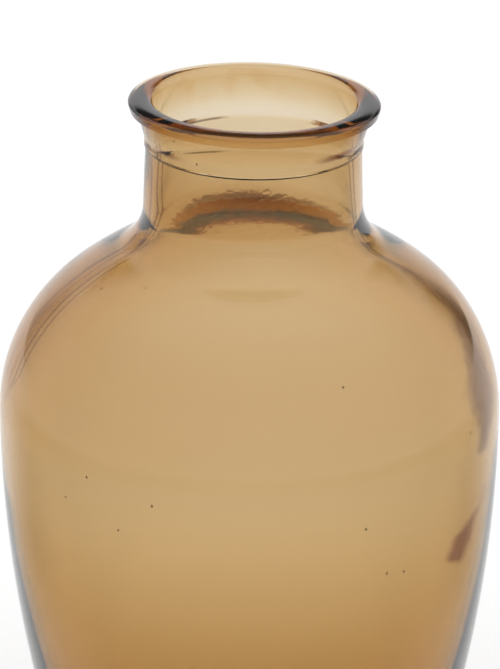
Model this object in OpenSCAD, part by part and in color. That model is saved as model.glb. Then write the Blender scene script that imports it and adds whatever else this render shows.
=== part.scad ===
// Amber glass bud vase: a round bottle-shaped vessel with a thick flared lip, a short straight
// neck, a domed shoulder and a long body that draws in to a pushed-up base.
// Millimetres. The origin is on the axis at the level it stands on, and +Z runs up to the mouth.
// The glass is turned from one section; each zone between two level planes is its own solid.

/* [Overall] */
// Height from the table to the top of the lip
vase_h = 125; // [100:1:160]
// Widest diameter of the body
body_dia = 80; // [66:1:98]

/* [Mouth and lip] */
// Diameter of the mouth's straight bore
mouth_dia = 31.7; // [24:0.1:39]
// Width of the lip's ring, from the bore to its outer edge
lip_w = 4; // [3.2:0.1:5.5]
// Height of the lip, down to where the collar's flare begins
lip_h = 3.2; // [2.8:0.1:3.8]
// Slope at which the lip's crown turns down outward, in degrees from upright
crown_turn = 78; // [70:1:84]
// Slope at which it turns into the outer edge
bevel_turn = 53; // [45:1:60]
// Radius of the turn between those two slopes
bevel_r = 1.9; // [1:0.1:2.6]
// Radius of the lip's outer edge
lip_edge_r = 0.7; // [0.4:0.05:0.9]
// How far the flare starts inside the lip's outer edge
undercut = 1; // [0.7:0.05:1.3]
// Depth of that start below the lip's crest
undercut_h = 1.8; // [1.7:0.05:2.2]
// Radius of the lip's inner edge
mouth_edge_r = 1.25; // [0.8:0.05:1.4]

/* [Collar] */
// Height from the lip's crest to the parting bead
collar_h = 6.17; // [5:0.01:8.8]
// How far the foot of the flare stands out from the neck
collar_step = 0.2; // [0.1:0.05:0.5]
// Height of the parting bead under the flare
bead_h = 1.5; // [1:0.1:2.5]
// How far the parting bead stands out from the neck
bead_proud = 0.25; // [0.1:0.05:0.5]
// Height of the bead's sloping edges
bead_edge = 0.3; // [0.1:0.05:0.45]

/* [Neck] */
// Height of the neck below the bead
neck_h = 9.75; // [6:0.25:20]
// Slope of the neck, in degrees from upright
neck_flare = 1.9; // [0:0.1:4]
// How much the bore's radius drops from the mouth to the neck
bore_step = 0.6; // [0.2:0.1:1.4]
// Wall of the neck
neck_wall = 1.8; // [1.4:0.1:2.4]

/* [Shoulder] */
// Radius of the hollow where the neck meets the shoulder
neck_fillet_r = 8.4; // [5:0.1:11]
// Steepest slope of the shoulder, in degrees from upright
shoulder_slope = 61.5; // [56:0.5:70]
// Radius of the shoulder's shallow crown
crown_r = 52.4; // [38:0.2:66]
// Slope at which the crown turns into the upper body
haunch_slope = 51.7; // [46:0.1:55]
// How far the bore runs straight below the neck's foot
bore_drop = 2.5; // [1.5:0.1:3]
// Radius of the inside hollow
inner_hollow_r = 6.3; // [5:0.1:8]
// Slope at the end of the inside hollow
inner_hollow_slope = 51; // [46:0.5:54]
// Radius of the inside's hollow flank
flank_r = 70; // [50:1:120]
// Steepest slope of the inside
inner_slope = 58.6; // [57:0.1:60]
// Radius of the inside's crown
inner_crown_r = 33.6; // [26:0.2:36]
// Slope at which the inside's crown ends
inner_haunch_slope = 51.9; // [48:0.1:53]

/* [Body] */
// Wall at the widest part of the body
body_wall = 1.4; // [1:0.05:2]
// Radius of the heel, outside
heel_r = 6; // [4:0.5:8]

/* [Base] */
// Outer diameter of the flat ring that the vase stands on
foot_dia = 46; // [38:1:56]
// Width of that ring
ring_w = 3; // [2:0.5:5]
// Height of the push-up at the middle of the underside
pushup_h = 2.2; // [1:0.1:3]
// Height of the inside floor
floor_h = 6; // [5:0.5:8]
// Radius of the turn from the floor into the inside wall
well_r = 9; // [7:0.5:12]
// How far the flat of the floor stays in from the foot's outer edge
well_inset = 3.7; // [3:0.1:6]

/* [Hidden] */
$fn = 180;
glass = [0.76, 0.55, 0.3, 0.75];

// How far the section's straight steps may cut inside its true arcs
step_sag = 0.01;

mouth_r = mouth_dia / 2;
lip_r = mouth_r + lip_w;
bore_r = mouth_r - bore_step;
neck_r = bore_r + neck_wall;
body_r = body_dia / 2;
foot_r = foot_dia / 2;

// Levels, from the crest down
lip_z = vase_h - lip_h;
bead_z = vase_h - collar_h;
neck_z = bead_z - bead_h;
neck_foot_z = neck_z - neck_h;
neck_spread = neck_h * tan(neck_flare);

// The outline runs downwards. Its slope is counted in degrees from straight down, outward
// positive. bend() goes on from point p, round an arc of radius r, from slope a0 to slope a1.
function bend(p, r, a0, a1) =
    let (side = sign(a1 - a0), steps = ceil(abs(a1 - a0) / 2 / acos(1 - step_sag / r)))
    [for (i = [1 : steps])
        let (a = a0 + (a1 - a0) * i / steps)
        p + side * r * [cos(a0) - cos(a), sin(a0) - sin(a)]];

function last(line) = line[len(line) - 1];

// Radius that carries an arc from slope a to upright while it moves out to radius r_end
function closing_r(p, a, r_end) = (r_end - p.x) / (1 - cos(a));

// Radius of the side's long arc, from the belly to a turn of radius turn_r on the foot
function side_r(belly, foot, turn_r) =
    let (d = belly.x - foot.x, h = belly.y - foot.y - turn_r)
    (d * d + h * h - turn_r * turn_r) / (2 * (d - turn_r));

// Arcs in a row from the neck's flare on, each given as [radius, end slope]
function chain(p, slope, arcs, i = 0) =
    i == len(arcs) ? []
    : let (arc = bend(p, arcs[i][0], slope, arcs[i][1]))
      concat(arc, chain(last(arc), arcs[i][1], arcs, i + 1));

// Both faces of the glass follow this line: hollow and crown, haunch, long side and heel
function skin(start, arcs, belly_r, foot, turn_r) =
    let (shoulder = chain(start, neck_flare, arcs),
         slope = last(arcs)[1],
         haunch = bend(last(shoulder), closing_r(last(shoulder), slope, belly_r), slope, 0),
         belly = last(haunch),
         long_r = side_r(belly, foot, turn_r),
         lean = asin((belly.y - foot.y - turn_r) / (long_r - turn_r)),
         side = bend(belly, long_r, 0, -lean),
         turn = bend(last(side), turn_r, -lean, -90))
    concat([start], shoulder, haunch, side, turn);

// The lip's crown has one radius on both sides of its crest; the ring's width sets it
inner_turn = 81;
lip_crown_r = (lip_w - mouth_edge_r * (1 - cos(inner_turn))
               - bevel_r * (cos(bevel_turn) - cos(crown_turn))
               - lip_edge_r * (1 - cos(bevel_turn))) / (cos(crown_turn) + cos(inner_turn));
crest = [mouth_r + mouth_edge_r * (1 - cos(inner_turn)) + lip_crown_r * cos(inner_turn), vase_h];
crown_out = bend(crest, lip_crown_r, 90, crown_turn);
bevel = bend(last(crown_out), bevel_r, crown_turn, bevel_turn);
lip_edge = bend(last(bevel), lip_edge_r, bevel_turn, -70);
crown_in = bend(crest, lip_crown_r, -90, -inner_turn);
mouth_edge = bend(last(crown_in), mouth_edge_r, -inner_turn, 0);

bead = [[neck_r + collar_step, bead_z],
        [neck_r + bead_proud, bead_z - bead_edge],
        [neck_r + bead_proud, neck_z + bead_edge],
        [neck_r, neck_z]];
outer_arcs = [[neck_fillet_r, shoulder_slope], [crown_r, haunch_slope]];
outer_skin = skin([neck_r + neck_spread, neck_foot_z], outer_arcs, body_r, [foot_r, 0], heel_r);

throat = [[mouth_r, neck_z],
          [bore_r, neck_z - bore_step]];
inner_arcs = [[inner_hollow_r, inner_hollow_slope], [flank_r, inner_slope],
              [inner_crown_r, inner_haunch_slope]];
bore_foot = [bore_r + (neck_h + bore_drop) * tan(neck_flare), neck_foot_z - bore_drop];
inner_skin = skin(bore_foot, inner_arcs, body_r - body_wall,
                  [foot_r - well_inset, floor_h], well_r);

pushup_r = foot_r - ring_w;
dome_r = (pushup_r * pushup_r + pushup_h * pushup_h) / (2 * pushup_h);
dome_half = asin(pushup_r / dome_r);
dome_steps = 12;
underside = [for (i = [0 : dome_steps])
    let (a = dome_half * (1 - i / dome_steps))
    [dome_r * sin(a), pushup_h - dome_r * (1 - cos(a))]];

outer_line = concat([crest], crown_out, bevel, lip_edge,
                    [[lip_r - undercut, vase_h - undercut_h]], bead, outer_skin, underside);
inner_line = concat(crown_in, mouth_edge, throat, inner_skin, [[0, floor_h]]);

// Levels that part the zones of the body, to a hundredth of a millimetre
function level(z) = round(z * 100) / 100;
crown_foot = last(chain([neck_r + neck_spread, neck_foot_z], neck_flare, outer_arcs));
crown_z = level(crown_foot.y);
belly_z = level(crown_foot.y
                - closing_r(crown_foot, haunch_slope, body_r) * sin(haunch_slope));
heel_z = floor_h + well_r;

module section() {
    polygon(concat(outer_line, [for (i = [len(inner_line) - 1 : -1 : 0]) inner_line[i]]));
}

// The glass between two levels
module zone(low, high) {
    color(glass)
        rotate_extrude()
            intersection() {
                section();
                translate([0, low])
                    square([body_r + lip_r, high - low]);
            }
}

// Thick ring round the mouth, crowned, with rounded edges
module lip() {
    zone(lip_z, vase_h);
}

// Flare under the lip, down to and with the parting bead
module collar() {
    zone(neck_z, lip_z);
}

// Short, nearly straight tube
module neck() {
    zone(neck_foot_z, neck_z);
}

// Hollow at the neck's foot and the shallow crown
module shoulder() {
    zone(crown_z, neck_foot_z);
}

// Round turn from the shoulder to the widest level
module upper_body() {
    zone(belly_z, crown_z);
}

// Long side that draws in below the widest level
module lower_body() {
    zone(heel_z, belly_z);
}

// Thickened turn at the foot of the side
module heel() {
    zone(floor_h, heel_z);
}

// Solid floor with its standing ring and push-up
module base() {
    zone(0, floor_h);
}

lip();
collar();
neck();
shoulder();
upper_body();
lower_body();
heel();
base();
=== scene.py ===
"""Amber glass bud vase: one hollow vessel of tinted glass on a pale studio floor."""
import math

import bpy
import numpy as np
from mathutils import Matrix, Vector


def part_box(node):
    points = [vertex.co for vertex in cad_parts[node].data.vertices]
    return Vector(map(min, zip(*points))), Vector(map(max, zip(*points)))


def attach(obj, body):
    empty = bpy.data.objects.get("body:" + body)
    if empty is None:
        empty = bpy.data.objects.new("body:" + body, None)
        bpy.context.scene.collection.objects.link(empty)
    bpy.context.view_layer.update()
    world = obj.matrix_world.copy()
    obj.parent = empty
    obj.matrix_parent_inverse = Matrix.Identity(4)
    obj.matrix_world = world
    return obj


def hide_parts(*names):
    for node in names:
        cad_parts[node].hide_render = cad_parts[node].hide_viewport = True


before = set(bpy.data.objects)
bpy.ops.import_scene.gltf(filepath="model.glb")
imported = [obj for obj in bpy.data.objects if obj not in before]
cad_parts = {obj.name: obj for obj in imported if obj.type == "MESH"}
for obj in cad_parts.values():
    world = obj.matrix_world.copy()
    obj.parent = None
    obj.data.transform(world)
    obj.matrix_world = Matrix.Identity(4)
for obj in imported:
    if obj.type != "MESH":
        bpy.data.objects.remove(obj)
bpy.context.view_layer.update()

MM = 0.001
NODES = ("lip", "collar", "neck", "shoulder", "upper_body", "lower_body", "heel", "base")
UPRIGHT = 0.0
LEVEL = math.pi / 2
DEGREE = 180 / math.pi


# ---------------------------------------------------------------- sizes from the frame

def top(node):
    """Level of a node's upper end."""
    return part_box(node)[1].z


def foot(node):
    """Level of a node's lower end."""
    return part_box(node)[0].z


def reach(node):
    """Largest radius of a node."""
    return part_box(node)[1].x


HEIGHT = top("lip")
LIP_R = reach("lip")
COLLAR_FOOT_Z = foot("collar")
NECK_FOOT_Z = foot("neck")
NECK_FOOT_R = reach("neck")
BELLY_R = reach("upper_body")
FLOOR_Z = top("base")

# Rounds of the lip, counted from its crest: sharper in front, fuller behind. Turns are in
# degrees and lengths in mm
FRONT_LIP = {"crest_turn": 73.8, "bevel_r": 1.2, "bevel_turn": 36.6, "edge_r": 0.1,
             "face_r": 1.06, "face_turn": 15.0, "face_foot": 1.89, "undercut": 1.43,
             "undercut_depth": 1.97}
BACK_LIP = {"crest_turn": 78.0, "bevel_r": 1.9, "bevel_turn": 53.0, "edge_r": 0.7,
            "face_r": 0.7, "face_turn": 68.0, "face_foot": 1.35, "undercut": 1.0,
            "undercut_depth": 1.8}
CREST_R = 5.27 * MM
INNER_TURN = math.radians(81)
MOUTH_EDGE_R = 1.25 * MM

# Bead at the foot of the collar
BEAD_H = 1.5 * MM
BEAD_EDGE = 0.3 * MM
BEAD_PROUD = 0.25 * MM
COLLAR_STEP = 0.2 * MM

# Outside of the body
NECK_FLARE = math.radians(1.9)
HOLLOW_R = 8.4 * MM
SHOULDER_SLOPE = math.radians(61.5)
CROWN_R = 52.4 * MM
HAUNCH_SLOPE = math.radians(51.7)
HEEL_R = 6 * MM
FOOT_R = 23 * MM
RING_W = 3 * MM
PUSHUP_H = 2.2 * MM

# Inside of the body
NECK_WALL = 1.8 * MM
BODY_WALL = 1.4 * MM
WELL_R = 9 * MM
WELL_INSET = 3.7 * MM

# Inside of the shoulder, behind and at the sides where the glass ran thick: depth at which it
# starts below the neck's foot, then the radius of each round and the slope that it ends at
THICK = {"drop": 2.51, "hollow_r": 6.29, "hollow_end": 51.0, "cone_r": 70.4,
         "cone_end": 58.6, "crown_r": 33.6, "crown_end": 51.9}
# The same in front, where the wall is even
EVEN = {"drop": 0.0, "hollow_r": 10.0, "hollow_end": 61.0, "cone_r": 52.4,
        "cone_end": 61.5, "crown_r": 38.0, "crown_end": 51.7}

# Steps of the section and of its turn
STEP_SAG = 0.0015 * MM
STRAIGHT_MIN = 2.5 * MM
LONG_STEP = 5 * MM
CORNER_STEP = 0.06 * MM
FINE_STEP = 0.2 * MM
DOME_STEPS = 12
TURN_STEPS = 192
WELD = 0.001 * MM
SHARP = math.radians(15)


# ---------------------------------------------------------------- section of the glass

def bend(start, radius, a0, a1):
    """Points of an arc that goes on from start. Slopes are counted from straight down, outward
    positive, as in the solid model."""
    side = 1 if a1 > a0 else -1
    steps = math.ceil(abs(a1 - a0) / 2 / math.acos(1 - STEP_SAG / radius))
    turns = [a0 + (a1 - a0) * i / steps for i in range(1, steps + 1)]
    return [(start[0] + side * radius * (math.cos(a0) - math.cos(a)),
             start[1] + side * radius * (math.sin(a0) - math.sin(a))) for a in turns]


def chain(start, arcs):
    """Arcs in a row, each (radius, end slope), that leave start at the neck's flare."""
    line = [start]
    slope = NECK_FLARE
    for radius, end in arcs:
        line += bend(line[-1], radius, slope, end)
        slope = end
    return line


def side_wall(line, slope, belly_r, base_point, turn_r):
    """Goes on from a chain: a haunch out to the belly, the long side, and the turn inward."""
    haunch_r = (belly_r - line[-1][0]) / (1 - math.cos(slope))
    haunch = bend(line[-1], haunch_r, slope, UPRIGHT)
    belly = haunch[-1]
    out = belly[0] - base_point[0]
    rise = belly[1] - base_point[1] - turn_r
    side_r = (out ** 2 + rise ** 2 - turn_r ** 2) / (2 * (out - turn_r))
    lean = math.asin(rise / (side_r - turn_r))
    side = bend(belly, side_r, UPRIGHT, -lean)
    return line + haunch + side + bend(side[-1], turn_r, -lean, -LEVEL)


def shifted(line, x, z):
    """A line moved as a whole."""
    return [(a + x, b + z) for a, b in line]


def part_way(here, there, share):
    return (here[0] + (there[0] - here[0]) * share, here[1] + (there[1] - here[1]) * share)


def refined(line):
    """Splits the straight parts of a line, with a short step next to each of their ends, so that
    smooth shading stays true to the section."""
    fine = [line[0]]
    for here, there in zip(line, line[1:]):
        length = math.dist(here, there)
        if length > STRAIGHT_MIN:
            count = math.ceil(length / LONG_STEP)
            shares = [CORNER_STEP / length] + [i / count for i in range(1, count)]
            for share in shares + [1 - CORNER_STEP / length]:
                fine.append(part_way(here, there, share))
        fine.append(there)
    return fine


def filled(line):
    """Splits every step of a line that is longer than the fine step."""
    fine = [line[0]]
    for here, there in zip(line, line[1:]):
        count = math.ceil(math.dist(here, there) / FINE_STEP)
        fine += [part_way(here, there, i / count) for i in range(1, count + 1)]
    return fine


def neck_top_r():
    """Radius of the neck at its upper end."""
    return NECK_FOOT_R - (COLLAR_FOOT_Z - NECK_FOOT_Z) * math.tan(NECK_FLARE)


def lip_line(form):
    """The lip and the collar outside, from the crest down to the top of the bead."""
    crest_turn, bevel_turn, face_turn = (
        math.radians(form[name]) for name in ("crest_turn", "bevel_turn", "face_turn"))
    edge_r = form["edge_r"] * MM
    crest = [(0, 0)] + bend((0, 0), CREST_R, LEVEL, crest_turn)
    bevel = bend(crest[-1], form["bevel_r"] * MM, crest_turn, bevel_turn)
    widest = bend(bevel[-1], edge_r, bevel_turn, UPRIGHT)
    face = bend(widest[-1], form["face_r"] * MM, UPRIGHT, -face_turn)
    lip = shifted(crest + bevel + widest + face, LIP_R - widest[-1][0], HEIGHT)
    fall = max(lip[-1][1] - HEIGHT + form["face_foot"] * MM, CORNER_STEP)
    lip.append((lip[-1][0] - fall * math.tan(face_turn), lip[-1][1] - fall))
    lip.append((LIP_R - form["undercut"] * MM, HEIGHT - form["undercut_depth"] * MM))
    lip.append((neck_top_r() + COLLAR_STEP, COLLAR_FOOT_Z + BEAD_H))
    return filled(lip)


def outer_line():
    """Outside of the glass, from the crest of the lip down to the middle of the underside."""
    lip = lip_line(FRONT_LIP)
    neck_r = neck_top_r()
    bead = [(neck_r + BEAD_PROUD, COLLAR_FOOT_Z + BEAD_H - BEAD_EDGE),
            (neck_r + BEAD_PROUD, COLLAR_FOOT_Z + BEAD_EDGE),
            (neck_r, COLLAR_FOOT_Z)]
    shoulder = chain((NECK_FOOT_R, NECK_FOOT_Z),
                     ((HOLLOW_R, SHOULDER_SLOPE), (CROWN_R, HAUNCH_SLOPE)))
    body = side_wall(shoulder, HAUNCH_SLOPE, BELLY_R, (FOOT_R, 0), HEEL_R)
    dome_edge = FOOT_R - RING_W
    dome_r = (dome_edge ** 2 + PUSHUP_H ** 2) / (2 * PUSHUP_H)
    half = math.asin(dome_edge / dome_r)
    turns = [half * (1 - i / DOME_STEPS) for i in range(DOME_STEPS + 1)]
    dome = [(dome_r * math.sin(t), PUSHUP_H - dome_r * (1 - math.cos(t))) for t in turns]
    return lip + bead + body + dome


def inner_line(wall):
    """Inside of the glass, from the crest of the lip down to the middle of the floor."""
    crest = bend(outer_line()[0], CREST_R, -LEVEL, -INNER_TURN)
    edge = bend(crest[-1], MOUTH_EDGE_R, -INNER_TURN, UPRIGHT)
    mouth = [outer_line()[0]] + crest + edge
    bore_foot_r = NECK_FOOT_R - NECK_WALL
    flare = math.tan(NECK_FLARE)
    bore_r = bore_foot_r - (COLLAR_FOOT_Z - NECK_FOOT_Z) * flare
    throat = [(mouth[-1][0], COLLAR_FOOT_Z), (bore_r, COLLAR_FOOT_Z - (mouth[-1][0] - bore_r))]
    drop = wall["drop"] * MM
    haunch = math.radians(wall["crown_end"])
    shoulder = chain((bore_foot_r + drop * flare, NECK_FOOT_Z - max(drop, CORNER_STEP)),
                     ((wall["hollow_r"] * MM, math.radians(wall["hollow_end"])),
                      (wall["cone_r"] * MM, math.radians(wall["cone_end"])),
                      (wall["crown_r"] * MM, haunch)))
    body = side_wall(shoulder, haunch, BELLY_R - BODY_WALL, (FOOT_R - WELL_INSET, FLOOR_Z), WELL_R)
    return mouth + throat + body + [(0, FLOOR_Z)]


# ---------------------------------------------------------------- modelling

def alone(piece):
    """Selects one piece and nothing else."""
    bpy.ops.object.select_all(action="DESELECT")
    piece.select_set(True)
    bpy.context.view_layer.objects.active = piece


def edit(piece):
    """Opens one piece for modelling with everything in it selected."""
    alone(piece)
    bpy.ops.object.mode_set(mode="EDIT")
    bpy.ops.mesh.select_all(action="SELECT")


def spun(name, line, steps=TURN_STEPS):
    """A surface of revolution: a line drawn by extruding one vertex, then spun about the axis."""
    bpy.ops.object.select_all(action="DESELECT")
    bpy.ops.mesh.primitive_plane_add(size=MM, location=(0, 0, 0))
    piece = bpy.context.object
    piece.name = name
    edit(piece)
    bpy.ops.mesh.merge(type="CENTER")
    bpy.ops.transform.translate(value=(line[0][0], 0, line[0][1]))
    for here, there in zip(line, line[1:]):
        bpy.ops.mesh.extrude_vertices_move(
            TRANSFORM_OT_translate={"value": (there[0] - here[0], 0, there[1] - here[1])})
    bpy.ops.mesh.select_all(action="SELECT")
    bpy.ops.mesh.spin(steps=steps, angle=math.tau, center=(0, 0, 0), axis=(0, 0, 1))
    bpy.ops.mesh.select_all(action="SELECT")
    bpy.ops.mesh.remove_doubles(threshold=WELD)
    bpy.ops.object.mode_set(mode="OBJECT")
    return piece


def sculpt(piece, move):
    """Moves every vertex of a piece by a function of all its positions at once."""
    count = len(piece.data.vertices)
    flat = np.empty(count * 3)
    piece.data.vertices.foreach_get("co", flat)
    places = flat.reshape(count, 3)
    piece.data.vertices.foreach_set("co", move(places).ravel())
    piece.data.update()


def smooth_step(value, low, high):
    """0 below low, 1 above high, and a soft step between them."""
    part = np.clip((value - low) / (high - low), 0, 1)
    return part * part * (3 - 2 * part)


# Lean of the neck and tilt of the mouth, from blowing by hand
LEAN_START_Z = 80 * MM
NECK_LEAN = 0.57 * MM
LIP_LEAN = 0.8 * MM
MOUTH_TILT = math.radians(1.3)


def lean(z):
    """How far the axis of the glass stands to the right at a level."""
    up_neck = smooth_step(z, LEAN_START_Z, NECK_FOOT_Z)
    up_lip = smooth_step(z, NECK_FOOT_Z, HEIGHT)
    return NECK_LEAN * up_neck + (LIP_LEAN - NECK_LEAN) * up_lip


def settle(places):
    """Leans the neck and tilts the mouth."""
    out = places.copy()
    z = places[:, 2]
    out[:, 0] += lean(z)
    out[:, 2] -= places[:, 0] * math.tan(MOUTH_TILT) * smooth_step(z, NECK_FOOT_Z, HEIGHT)
    return out


# The camera: its lens and film in mm, its place, how far it looks down, and its picture in pixels
CAMERA_LENS = 252.8
CAMERA_FILM = 36.0
CAMERA_PLACE = (0.0001, -0.7, HEIGHT + 0.22667)
CAMERA_DOWN = math.radians(20.83)
PICTURE = (500, 669)

# Stretch of the camera's rays in which they meet the glass, and the step along it
RAY_REACH = (0.6, 0.86)
RAY_STEP = 0.05 * MM
CREST_GAP = 1 * MM


def seen(across, down):
    """The place on the outside of the glass that the camera sees at a pixel: its level in mm and
    its turn to the right of the front in degrees."""
    focus = CAMERA_LENS / CAMERA_FILM * PICTURE[1]
    right = (across - PICTURE[0] / 2) / focus
    up = (PICTURE[1] / 2 - down) / focus
    ray = np.array([right, math.cos(CAMERA_DOWN) + up * math.sin(CAMERA_DOWN),
                    up * math.cos(CAMERA_DOWN) - math.sin(CAMERA_DOWN)])
    steps = np.arange(*RAY_REACH, RAY_STEP)
    places = np.array(CAMERA_PLACE) + steps[:, None] * ray / np.linalg.norm(ray)
    x, y, z = places.T
    outside = sorted((level, radius) for radius, level in outer_line())
    in_glass = np.hypot(x - lean(z), y) < np.interp(z, *zip(*outside))
    first = np.argmax(in_glass & (z < HEIGHT - CREST_GAP))
    return z[first] / MM, math.degrees(math.atan2(x[first], -y[first]))


# Uneven inside: its shift to the right, how the thick glass is laid round the shoulder, and the
# levels between which each of them sets in
BORE_SHIFT = 0.25 * MM
SHIFT_LOW = (60 * MM, 95 * MM)
SHIFT_HIGH = (112 * MM, COLLAR_FOOT_Z)
EVEN_LOW = (55 * MM, 75 * MM)
EVEN_HIGH = NECK_FOOT_Z + 0.2 * MM
BACK_HALF = math.radians(41.5)
BACK_POWER = 1.9
SIDE_SHARE = 0.38
SIDE_HALF = math.radians(34.8)


def thickness_share(turn):
    """How thick the shoulder is, from even (0) to thick (1), by the turn from straight behind."""
    aside = np.abs(turn)
    behind = np.exp(-(aside / BACK_HALF) ** BACK_POWER)
    sides = SIDE_SHARE * np.exp(-((aside - math.pi / 2) / SIDE_HALF) ** 2)
    return np.clip(behind + sides, 0, 1)


def uneven(places):
    """Thins the shoulder wherever it isn't thick, and shifts the inside to the right, so that
    the left wall is the thicker one."""
    out = places.copy()
    x, y, z = places.T
    r = np.hypot(x, y)
    even = np.array(sorted((level, radius) for radius, level in inner_line(EVEN)))
    free = smooth_step(z, *EVEN_LOW) * (z < EVEN_HIGH)
    push = (np.interp(z, even[:, 0], even[:, 1]) - r) * free
    push *= 1 - thickness_share(np.arctan2(x, y))
    out[:, 0] += x / np.maximum(r, MM) * push
    out[:, 1] += y / np.maximum(r, MM) * push
    share = smooth_step(z, *SHIFT_LOW) * (1 - smooth_step(z, *SHIFT_HIGH))
    out[:, 0] += BORE_SHIFT * share
    return out


# Where the lip changes from its form in front to its form behind, along Y
LIP_SWAP = (-5 * MM, 4 * MM)
SAME_PLACE = 0.002 * MM


def shares_along(line):
    """How far along a line each of its points is, from 0 to 1."""
    steps = np.hypot(*np.diff(np.array(line), axis=0).T)
    return np.concatenate([[0], np.cumsum(steps)]) / steps.sum()


def fuller_behind(places):
    """Draws the lip out, from its form in front to its form behind."""
    out = places.copy()
    x, y, z = places.T
    r = np.hypot(x, y)
    front = lip_line(FRONT_LIP)
    back = lip_line(BACK_LIP)
    back_shares = shares_along(back)
    back_r, back_z = np.array(back).T
    share_behind = smooth_step(y, *LIP_SWAP)
    for (radius, level), share in zip(front, shares_along(front)):
        here = (abs(r - radius) < SAME_PLACE) & (abs(z - level) < SAME_PLACE)
        new_r = radius + (np.interp(share, back_shares, back_r) - radius) * share_behind[here]
        out[here, 0] *= new_r / radius
        out[here, 1] *= new_r / radius
        out[here, 2] += (np.interp(share, back_shares, back_z) - level) * share_behind[here]
    return out


# Wear of the bead: what is left of it in front, where it comes back to full height at the sides,
# and where it ends on the way to the back
FRONT_BEAD = 0.5
FULL_BEAD = (6 * MM, 12 * MM)
BEAD_END = (-2 * MM, 3 * MM)
BEAD_REACH = 0.01 * MM


def worn(places):
    """Wears the bead down: away behind, and to half its height in front."""
    out = places.copy()
    x, y, z = places.T
    r = np.hypot(x, y)
    low = COLLAR_FOOT_Z - BEAD_REACH
    high = COLLAR_FOOT_Z + BEAD_H + BEAD_REACH
    on_bead = (z > low) & (z < high)
    keep = FRONT_BEAD + (1 - FRONT_BEAD) * smooth_step(np.abs(x), *FULL_BEAD)
    keep *= 1 - smooth_step(y, *BEAD_END)
    slope = neck_top_r() + COLLAR_STEP * (z - COLLAR_FOOT_Z) / BEAD_H
    new = slope + (r - slope) * keep
    scale = np.where(on_bead, new / np.maximum(r, MM), 1)
    out[:, 0] *= scale
    out[:, 1] *= scale
    return out


# Seeds, the small bubbles in the wall: those in sight by the pixel at which the camera sees them,
# the others by level in mm and turn to the right of the front in degrees
SEEDS_IN_SIGHT = ((345, 391), (85, 478), (151, 507), (117, 531), (367, 530), (388, 574),
                  (405, 572), (94, 292), (192, 165), (169, 142))
SEEDS_OUT_OF_SIGHT = ((64.0, 112.0), (91.0, 158.0), (49.0, -124.0), (82.0, -150.0), (33.0, 8.0),
                      (24.0, 71.0), (20.0, -96.0))
SEED_R = 0.19 * MM
SEED_STRETCH = 0.2


def make_seeds():
    """Seeds as closed voids half way through the wall, with their faces turned inward."""
    outside = sorted((level, radius) for radius, level in outer_line()[1:])
    inside = sorted((level, radius) for radius, level in inner_line(EVEN)[1:])
    spots = [seen(*pixel) for pixel in SEEDS_IN_SIGHT] + list(SEEDS_OUT_OF_SIGHT)
    seeds = []
    for number, (level, turn) in enumerate(spots):
        z = level * MM
        radii = [np.interp(z, *zip(*line)) for line in (outside, inside)]
        middle = sum(radii) / 2
        spot = (middle * math.sin(math.radians(turn)), -middle * math.cos(math.radians(turn)), z)
        bpy.ops.object.select_all(action="DESELECT")
        bpy.ops.mesh.primitive_ico_sphere_add(subdivisions=2, radius=SEED_R, location=(0, 0, 0))
        seed = bpy.context.object
        edit(seed)
        bpy.ops.transform.resize(value=(1, 1, 1 + SEED_STRETCH * (number % 3)))
        bpy.ops.transform.translate(value=spot)
        bpy.ops.mesh.flip_normals()
        bpy.ops.object.mode_set(mode="OBJECT")
        bpy.ops.object.shade_smooth()
        seeds.append(seed)
    return seeds


def make_vessel():
    """The vase: outside and inside spun apart, joined, and welded at the crest of the lip."""
    inside = spun("inside", refined(inner_line(THICK)))
    sculpt(inside, uneven)
    vessel = spun("glass_vessel", refined(outer_line()))
    sculpt(vessel, worn)
    sculpt(vessel, fuller_behind)
    inside.select_set(True)
    bpy.ops.object.join()
    edit(vessel)
    bpy.ops.mesh.remove_doubles(threshold=WELD)
    bpy.ops.mesh.select_all(action="SELECT")
    bpy.ops.mesh.normals_make_consistent(inside=False)
    bpy.ops.object.mode_set(mode="OBJECT")
    bpy.ops.object.shade_smooth_by_angle(angle=SHARP)
    seeds = make_seeds()
    alone(vessel)
    for seed in seeds:
        seed.select_set(True)
    bpy.ops.object.join()
    sculpt(vessel, settle)
    return vessel


# ---------------------------------------------------------------- shader sums

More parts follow.
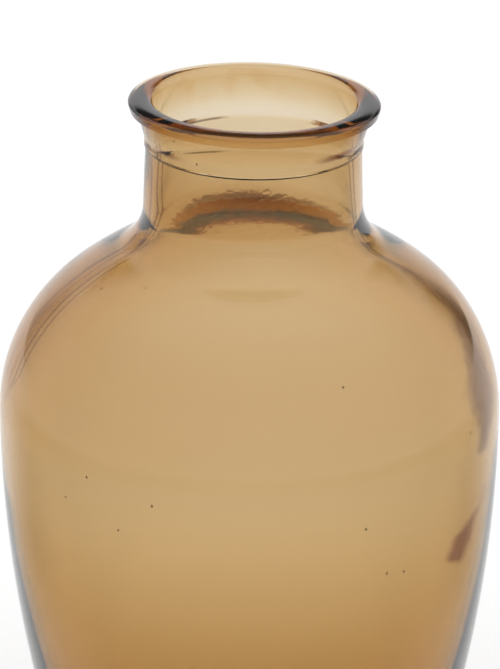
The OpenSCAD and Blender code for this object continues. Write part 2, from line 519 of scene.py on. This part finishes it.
class Wire:
    """A shader socket that Python sums can use."""

    def __init__(self, tree, socket=None):
        self.tree = tree
        self.socket = socket

    def node(self, kind, settings=None, sockets=None, output=0):
        """A new node: its type, its settings, and the values or links of its sockets."""
        new = self.tree.nodes.new(kind)
        for name, value in (settings or {}).items():
            setattr(new, name, value)
        for name, value in (sockets or {}).items():
            if isinstance(value, Wire):
                self.tree.links.new(value.socket, new.inputs[name])
            else:
                new.inputs[name].default_value = value
        return Wire(self.tree, new.outputs[output] if new.outputs else None)

    def math(self, operation, first, second):
        """A sum of two values."""
        return self.node("ShaderNodeMath", {"operation": operation}, {0: first, 1: second})

    def alone(self, operation):
        """A sum of this value alone, such as its root."""
        return self.node("ShaderNodeMath", {"operation": operation}, {0: self})

    def __add__(self, other):
        return self.math("ADD", self, other)

    def __radd__(self, other):
        return self.math("ADD", other, self)

    def __sub__(self, other):
        return self.math("SUBTRACT", self, other)

    def __rsub__(self, other):
        return self.math("SUBTRACT", other, self)

    def __mul__(self, other):
        return self.math("MULTIPLY", self, other)

    def __rmul__(self, other):
        return self.math("MULTIPLY", other, self)

    def along(self, points):
        """A line of straight parts through points (input, output) in rising order."""
        total = points[0][1]
        for here, there in zip(points, points[1:]):
            part = self.node("ShaderNodeMapRange", None,
                             {"Value": self, "From Min": here[0], "From Max": there[0]})
            total = total + (there[1] - here[1]) * part
        return total

    def top_of(self, other):
        return self.math("MAXIMUM", self, other)

    def between(self, low, high):
        """0 below low, 1 above high, and a soft step between them."""
        return self.node("ShaderNodeMapRange", {"interpolation_type": "SMOOTHSTEP"},
                         {"Value": self, "From Min": low, "From Max": high})


def blank(data):
    """An empty node tree of a material or a world."""
    data.use_nodes = True
    data.node_tree.nodes.clear()
    return Wire(data.node_tree)


# ---------------------------------------------------------------- glass

GLASS_IOR = 1.52
GLASS_TINT = (0.8243, 0.6547, 0.3306, 1)
GLASS_DENSITY = 700


def line_through(*spots):
    """The two edges of a line that runs upward through spots, each a place (level in mm, turn in
    degrees) and half the line's width in degrees."""
    left = tuple((level, turn - half) for (level, turn), half in spots)
    right = tuple((level, turn + half) for (level, turn), half in spots)
    return left, right


# Edges of the painted shade lines and streaks on the glass, left and right, from the foot up:
# tints that stand in for the shade thrown by refraction in the wall. Where the camera sees a point
# well it is placed by its pixel, elsewhere by its level and turn
# Painted shade: the inner dark line on the left
LEFT_SHADE_LINE = line_through(
    (seen(7.2, 392), 0.35), (seen(14.4, 379), 0.5), (seen(83, 284), 0.5), (seen(119.6, 260), 0.5),
    (seen(143.5, 242), 0.6), (seen(158, 212), 0.9), (seen(157, 190), 0.8), (seen(157, 150), 0.8))
# Painted shade: the outer dark line on the left
LEFT_RIM_SHADE_LINE = line_through(
    ((79.0, -82.0), 1.0), (seen(17.5, 347), 1.0), (seen(68.6, 284), 1.0), (seen(94, 264.5), 1.25),
    (seen(137, 233), 1.5), ((119.5, -78.5), 1.5))
# Painted shade: a pale amber band between the two left lines
LEFT_GAP = (((80.0, -81.0), (95.0, -81.0), (104.0, -77.0)),
            ((80.0, -75.5), (97.0, -74.5), (104.0, -69.0)))
# Painted shade: the dark line on the right
RIGHT_SHADE_LINE = line_through(
    ((80.0, 79.6), 0.6), (seen(467, 318), 0.7), (seen(438, 289), 0.7), (seen(407, 270), 0.7),
    (seen(377, 253), 0.8), ((105.0, 69.8), 0.8), (seen(354, 190), 0.8), (seen(354, 150), 0.8))
# Painted shade: a broad dark streak on the right of the shoulder
RIGHT_SHADE_STREAK = (
    ((72.0, 65.5), seen(482, 440), seen(471, 395), (86.0, 70.0), seen(454, 312), (98.9, 75.4)),
    ((72.0, 71.5), seen(495, 395), seen(486, 360), seen(467, 315), seen(430, 280), (98.9, 77.0)))
# Painted shade: a dark arc on the inside of the mouth, behind on the left
MOUTH_SHADE_ARC = (((116.0, -165.0), (118.0, -165.0)), ((116.0, -140.0), (118.0, -140.0)))
# Painted shade: darker reddish patches on the bead at either side
BEAD_LEFT_SHADE = (((117.0, -62.0), (121.0, -62.0)), ((117.0, -40.0), (121.0, -44.0)))
BEAD_RIGHT_SHADE = (((117.0, 38.0), (121.0, 42.0)), ((117.0, 66.0), (121.0, 66.0)))
# Painted shade: a lilac-grey streak low on the right
LILAC_SHADE_STREAK = (((54.9, 57.8), seen(450, 560), seen(455, 540), (63.6, 70.5)),
                 ((54.9, 59.6), seen(470, 540), (62.6, 67.0), (63.6, 73.5)))

# Each painted shade line: its edges, the level of its two ends in mm, how soft its edges are in
# degrees, how ragged, and the tint of painted shade that it lays over the glass
PAINTED_SHADE_LINES = (
    {"edges": LEFT_SHADE_LINE, "ends": (78.0, 120.5), "soft": 0.6, "ragged": 0.4,
     "tint": (0.28, 0.23, 0.20)},
    {"edges": LEFT_RIM_SHADE_LINE, "ends": (80.0, 120.5), "soft": 1.2, "ragged": 0.5,
     "tint": (0.30, 0.22, 0.20)},
    {"edges": LEFT_GAP, "ends": (81.0, 103.0), "soft": 1.0, "ragged": 0.6,
     "tint": (0.95, 0.84, 0.62)},
    {"edges": RIGHT_SHADE_LINE, "ends": (86.0, 120.5), "soft": 0.7, "ragged": 0.4,
     "tint": (0.26, 0.21, 0.18)},
    {"edges": RIGHT_SHADE_STREAK, "ends": (71.5, 99.6), "soft": 3.0, "ragged": 3.2,
     "tint": (0.44, 0.39, 0.42)},
    {"edges": MOUTH_SHADE_ARC, "ends": (116.8, 117.1), "soft": 6.0, "ragged": 0.3,
     "tint": (0.15, 0.12, 0.1), "inside": True},
    {"edges": BEAD_LEFT_SHADE, "ends": (118.75, 119.5), "soft": 8.0, "ragged": 0.6,
     "tint": (0.50, 0.38, 0.36)},
    {"edges": BEAD_RIGHT_SHADE, "ends": (118.65, 119.6), "soft": 8.0, "ragged": 0.6,
     "tint": (0.48, 0.36, 0.34)},
    {"edges": LILAC_SHADE_STREAK, "ends": (54.6, 64.4), "soft": 2.4, "ragged": 3.2,
     "tint": (0.52, 0.40, 0.50)},
)


RAGGED_SCALE = 260.0
INSIDE_R = (16.2 * MM, 16.4 * MM)

# Painted ochre shade inside the mouth, behind: from where along Y, from what level in mm, and how
# patchy
MOUTH_SHADE_TINT = (0.86, 0.68, 0.42, 1)
MOUTH_SHADE_SHARE = 0.5
MOUTH_SHADE_BACK = (-2 * MM, 8 * MM)
MOUTH_SHADE_LEVEL = (118, 123)
MOUTH_SHADE_PATCHES = (0.42, 0.62)

# Waves of the faces, and the fine grain of the neck between its levels in mm
WAVE_SCALE = 90.0
WAVE_HEIGHT = 0.01 * MM
GRAIN_SCALE = 1100.0
GRAIN = 1.5
GRAIN_LOW = (104, 108)
GRAIN_HIGH = (117, 120)


def face_tints(tree, place):
    """The painted shade of the lines and of the back of the mouth together, laid out by turn and
    level.
    """
    x, y, z = (tree.node("ShaderNodeSeparateXYZ", None, {0: place}, output=i) for i in range(3))
    turn = x.math("ARCTAN2", x, 0 - y) * DEGREE
    level = z * (1 / MM)
    on_inside = 1 - (x * x + y * y).alone("SQRT").between(*INSIDE_R)
    rough = tree.node("ShaderNodeTexNoise", {"noise_dimensions": "3D"},
                      {"Vector": place, "Scale": RAGGED_SCALE, "Detail": 3.0})
    shake = rough - 0.5
    tint = (1, 1, 1, 1)
    # Painted shade lines, each laid over the glass as a tint
    for shade_line in PAINTED_SHADE_LINES:
        left, right = shade_line["edges"]
        soft = shade_line["soft"]
        moved = turn + shake * (soft * shade_line["ragged"])
        inner = (moved - level.along(left)).between(-soft, soft)
        outer = (level.along(right) - moved).between(-soft, soft)
        low, high = shade_line["ends"]
        fade = min(1, (high - low) / 3)
        within = level.between(low - fade, low + fade)
        within = within * (1 - level.between(high - fade, high + fade))
        if shade_line.get("inside"):
            within = within * on_inside
        tint = tree.node("ShaderNodeMix", {"data_type": "RGBA"},
                         {"Factor": inner * outer * within, 6: tint, 7: shade_line["tint"] + (1,)},
                         output=2)
    # Painted ochre shade on the inside of the mouth, behind
    mouth_shade = on_inside * y.between(*MOUTH_SHADE_BACK) * level.between(*MOUTH_SHADE_LEVEL)
    mouth_shade = mouth_shade * rough.between(*MOUTH_SHADE_PATCHES)
    return tree.node("ShaderNodeMix", {"data_type": "RGBA"},
                     {"Factor": mouth_shade * MOUTH_SHADE_SHARE, 6: tint, 7: MOUTH_SHADE_TINT}, output=2)


def glass_material():
    """Tinted glass: the colour is in its thickness, and the painted shade lines and the painted
    ochre shade inside the mouth are on its faces.
    """
    mat = bpy.data.materials.new("amber_glass")
    tree = blank(mat)
    place = tree.node("ShaderNodeTexCoord", output=3)
    ripple = tree.node("ShaderNodeTexNoise", {"noise_dimensions": "3D"},
                       {"Vector": place, "Scale": WAVE_SCALE, "Detail": 1.0})
    fine = tree.node("ShaderNodeTexNoise", {"noise_dimensions": "3D"},
                     {"Vector": place, "Scale": GRAIN_SCALE, "Detail": 2.0})
    level = tree.node("ShaderNodeSeparateXYZ", None, {0: place}, output=2) * (1 / MM)
    neck = level.between(*GRAIN_LOW) * (1 - level.between(*GRAIN_HIGH))
    bump = tree.node("ShaderNodeBump", None,
                     {"Height": ripple + fine * neck * GRAIN, "Strength": 1.0,
                      "Distance": WAVE_HEIGHT})
    glass = tree.node("ShaderNodeBsdfPrincipled", None,
                      {"Base Color": face_tints(tree, place), "Roughness": 0.0,
                       "IOR": GLASS_IOR, "Transmission Weight": 1.0, "Normal": bump})
    body = tree.node("ShaderNodeVolumeAbsorption", None,
                     {"Color": GLASS_TINT, "Density": GLASS_DENSITY})
    tree.node("ShaderNodeOutputMaterial", None, {"Surface": glass, "Volume": body})
    return mat


# ---------------------------------------------------------------- floor, light and dark cards

FLOOR_GREY = 0.85
FLOOR_LIFT = 0.2
FLOOR_SIZE = 12
FLOOR_Z_GAP = -0.1 * MM


def floor_material():
    """Pale floor: it keeps soft shadows, and a little light of its own lifts it to white."""
    mat = bpy.data.materials.new("floor")
    tree = blank(mat)
    camera = tree.node("ShaderNodeLightPath", output="Is Camera Ray")
    glossy = tree.node("ShaderNodeLightPath", output="Is Glossy Ray")
    through = tree.node("ShaderNodeLightPath", output="Is Transmission Ray")
    seen = camera.top_of(glossy).top_of(through)
    matt = tree.node("ShaderNodeBsdfDiffuse", None, {"Color": (FLOOR_GREY,) * 3 + (1,)})
    lift = tree.node("ShaderNodeEmission", None, {"Strength": FLOOR_LIFT * seen})
    both = tree.node("ShaderNodeAddShader", None, {0: matt, 1: lift})
    tree.node("ShaderNodeOutputMaterial", None, {"Surface": both})
    return mat


def make_floor():
    """The floor, a hair below the ring that the vase stands on."""
    bpy.ops.object.select_all(action="DESELECT")
    bpy.ops.mesh.primitive_plane_add(size=FLOOR_SIZE, location=(0, 0, FLOOR_Z_GAP))
    floor = bpy.context.object
    floor.name = "floor"
    floor.data.materials.append(floor_material())


def make_world():
    """White all round: the studio's soft light."""
    world = bpy.data.worlds.new("studio")
    bpy.context.scene.world = world
    tree = blank(world)
    white = tree.node("ShaderNodeBackground", None, {"Color": (1, 1, 1, 1), "Strength": 1.0})
    tree.node("ShaderNodeOutputWorld", None, {"Surface": white})


# The dark cards: a half sphere over the vase, and a sheet just above the table that carries
# painted shade of the table, which only the glass sees
CANOPY_R = 3.0
CANOPY_STEPS = (96, 48)
TABLE_CARD_Z = 0.5 * MM
CARD_DARK = 0.0

# Sky: shares of darkness, with heights and turns in degrees
RIM_DARK = 0.29
RIM_HIGH = 28.5
TOP_DARK = 0.09
BACK_TURN = 28.0
BACK_DARK = 0.07
PANEL_TURN = 36.8
PANEL_SOFT = 6.6
PANEL_LOW = 26.3
PANEL_HIGH = 61.2
PANEL_DARK = 0.9
PANEL_LOW_SOFT = 3
PANEL_HIGH_SOFT = 6
EDGE_SOFT = 5
RIGHT_STAND = {"turn": 35.7, "half": 9.5, "dark": 0.87, "high": 23.2}
LEFT_STAND = {"turn": -37.9, "half": 9.8, "dark": 0.36, "high": 18.5}

# Painted shade of the table, seen only in the glass: shares of darkness, with turns in degrees and
# lengths in metres
SIDE_DARK = 0.84
SIDE_FAR_DARK = 0.42
SIDE_NEAR = 0.296
SIDE_FAR = 0.592
FAN_TURN = 59.0
FAN_SOFT = 17.0
FAN_DARK = 0.08
NEAR_BACK = 0.039
NEAR_START = 0.058
NEAR_END = 0.129


def card_material(name, level, mask=None):
    """Dark card; where a mask is given the card fades out with it."""
    mat = bpy.data.materials.new(name)
    tree = blank(mat)
    dark = tree.node("ShaderNodeEmission", None, {"Color": (1, 1, 1, 1), "Strength": level})
    if mask:
        clear = tree.node("ShaderNodeBsdfTransparent")
        dark = tree.node("ShaderNodeMixShader", None, {0: mask(tree), 1: clear, 2: dark})
    tree.node("ShaderNodeOutputMaterial", None, {"Surface": dark})
    return mat


def heading_of(tree):
    """Where a point of the sky stands: its turn from straight behind the vase, right positive,
    and its height above the horizon, both in degrees."""
    place = tree.node("ShaderNodeTexCoord", output=3)
    heading = tree.node("ShaderNodeVectorMath", {"operation": "NORMALIZE"}, {0: place})
    x, y, z = (tree.node("ShaderNodeSeparateXYZ", None, {0: heading}, output=i) for i in range(3))
    return x.math("ARCTAN2", x, y) * DEGREE, z.alone("ARCSINE") * DEGREE


def stand(turn, height, form):
    """A soft upright strip of darkness, from the table up to its height."""
    off = (turn - form["turn"]) * (1 / form["half"])
    low = 1 - height.between(form["high"] - EDGE_SOFT, form["high"] + EDGE_SOFT)
    return (0 - off * off).alone("EXPONENT") * low * form["dark"]


def sky_mask(tree):
    """How far the sky is darkened: a soft rim all round that is open behind the vase, a dark
    panel high up behind it, and a dark stand beside the panel on either hand."""
    turn, height = heading_of(tree)
    aside = turn.alone("ABSOLUTE")
    rim = RIM_DARK + (TOP_DARK - RIM_DARK) * height.between(0, RIM_HIGH)
    behind = 1 - aside.between(BACK_TURN - EDGE_SOFT, BACK_TURN + EDGE_SOFT)
    low = 1 - height.between(PANEL_LOW - EDGE_SOFT, PANEL_LOW + EDGE_SOFT)
    rim = rim + behind * low * (BACK_DARK - rim)
    across = 1 - aside.between(PANEL_TURN - PANEL_SOFT, PANEL_TURN + PANEL_SOFT)
    over = height.between(PANEL_LOW - PANEL_LOW_SOFT, PANEL_LOW + PANEL_LOW_SOFT)
    under = 1 - height.between(PANEL_HIGH - PANEL_HIGH_SOFT, PANEL_HIGH + PANEL_HIGH_SOFT)
    light = (1 - rim) * (1 - across * over * under * PANEL_DARK)
    for form in (RIGHT_STAND, LEFT_STAND):
        light = light * (1 - stand(turn, height, form))
    return 1 - light


def table_mask(tree):
    """How far the table is darkened, as painted shade that only the glass sees: bright near the
    vase and in a fan behind it, dark at the sides and in front."""
    place = tree.node("ShaderNodeTexCoord", output=3)
    x, y = (tree.node("ShaderNodeSeparateXYZ", None, {0: place}, output=i) for i in range(2))
    away = (x * x + y * y).alone("SQRT")
    side = SIDE_DARK + (SIDE_FAR_DARK - SIDE_DARK) * away.between(SIDE_NEAR, SIDE_FAR)
    turn = x.math("ARCTAN2", x, y).alone("ABSOLUTE") * DEGREE
    fan = 1 - turn.between(FAN_TURN - FAN_SOFT, FAN_TURN + FAN_SOFT)
    back = y - NEAR_BACK
    near = (x * x + back * back).alone("SQRT").between(NEAR_START, NEAR_END)
    return (side + (FAN_DARK - side) * fan) * near


def only_seen_by(card, through):
    """A card that only the glass sees: in its mirror images, and through it if asked."""
    card.visible_camera = False
    card.visible_diffuse = False
    card.visible_shadow = False
    card.visible_volume_scatter = False
    card.visible_transmission = through


def make_cards():
    """Dark cards round the white studio, as glass is lit to give it dark edges."""
    bpy.ops.object.select_all(action="DESELECT")
    segments, rings = CANOPY_STEPS
    bpy.ops.mesh.primitive_uv_sphere_add(segments=segments, ring_count=rings, radius=CANOPY_R)
    canopy = bpy.context.object
    canopy.name = "canopy"
    edit(canopy)
    bpy.ops.mesh.bisect(plane_co=(0, 0, 0), plane_no=(0, 0, 1), clear_inner=True)
    bpy.ops.object.mode_set(mode="OBJECT")
    canopy.data.materials.append(card_material("canopy_dark", CARD_DARK, sky_mask))
    only_seen_by(canopy, through=True)
    bpy.ops.object.select_all(action="DESELECT")
    # Painted shade of the table: a sheet just above the floor that only the glass sees
    bpy.ops.mesh.primitive_plane_add(size=2 * CANOPY_R, location=(0, 0, TABLE_CARD_Z))
    card = bpy.context.object
    card.name = "table_shade_sheet"
    card.data.materials.append(card_material("table_dark", CARD_DARK, table_mask))
    only_seen_by(card, through=True)


# ---------------------------------------------------------------- scene

def make_camera():
    """A long lens in front of the vase and above it, looking down at the neck."""
    data = bpy.data.cameras.new("camera")
    data.lens = CAMERA_LENS
    data.clip_start = 0.05
    data.clip_end = 50
    camera = bpy.data.objects.new("camera", data)
    bpy.context.scene.collection.objects.link(camera)
    camera.location = CAMERA_PLACE
    camera.rotation_euler = (LEVEL - CAMERA_DOWN, 0, 0)
    bpy.context.scene.camera = camera


make_camera()
vessel = make_vessel()
vessel.data.materials.append(glass_material())
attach(vessel, "root")
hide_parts(*NODES)
make_floor()
make_world()
make_cards()
bpy.context.scene.view_settings.view_transform = "Standard"
